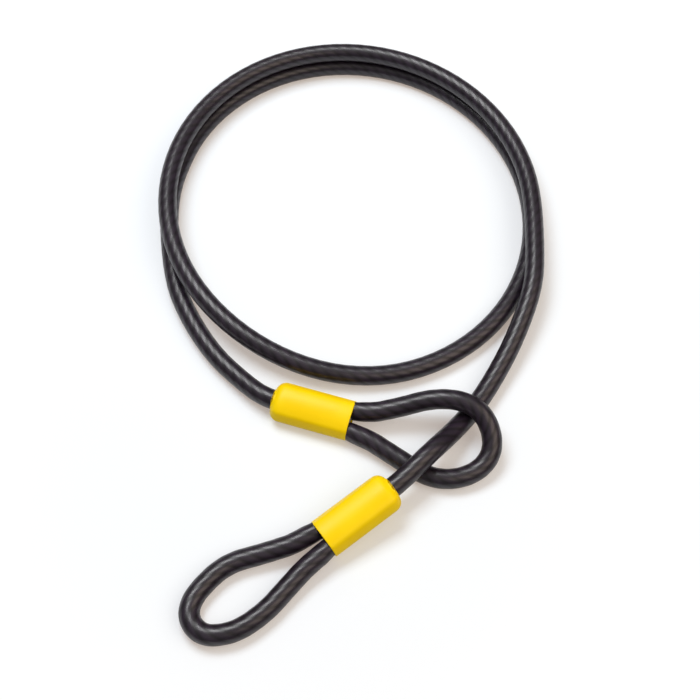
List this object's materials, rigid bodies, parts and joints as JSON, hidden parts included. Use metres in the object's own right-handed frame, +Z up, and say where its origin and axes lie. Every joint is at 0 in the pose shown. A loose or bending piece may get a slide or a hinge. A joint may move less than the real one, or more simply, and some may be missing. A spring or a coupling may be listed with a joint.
{
  "type": "cable lock",
  "caption": "Double-loop security cable: a steel wire rope in a black vinyl jacket, coiled, with each end folded into a closed eye under a yellow sleeve.",
  "frame": {"origin": "on the surface that the cable lies on, in the middle of its outline", "axes": "+Y from the free eye A towards the far side of the coil, +X to the right as pictured, +Z up"},
  "size_m": [0.2117, 0.355, 0.0223],
  "materials": {
    "core_steel": "drawn wire",
    "strand_steel": "galvanised wire",
    "jacket_vinyl": "smooth extruded vinyl, smoky black",
    "ferrule_aluminium": "pressed",
    "sleeve_plastic": "smooth moulded"
  },
  "bodies": {
    "root": {"wire_rope_core": "core_steel", "wire_rope_strands": "strand_steel", "jacket_eye_a": "jacket_vinyl", "jacket_tail_a": "jacket_vinyl", "jacket_coil": "jacket_vinyl", "jacket_tail_b": "jacket_vinyl", "jacket_eye_b": "jacket_vinyl", "ferrule_a": "ferrule_aluminium", "ferrule_b": "ferrule_aluminium", "sleeve_a": "sleeve_plastic", "sleeve_b": "sleeve_plastic"}
  },
  "joints": []
}
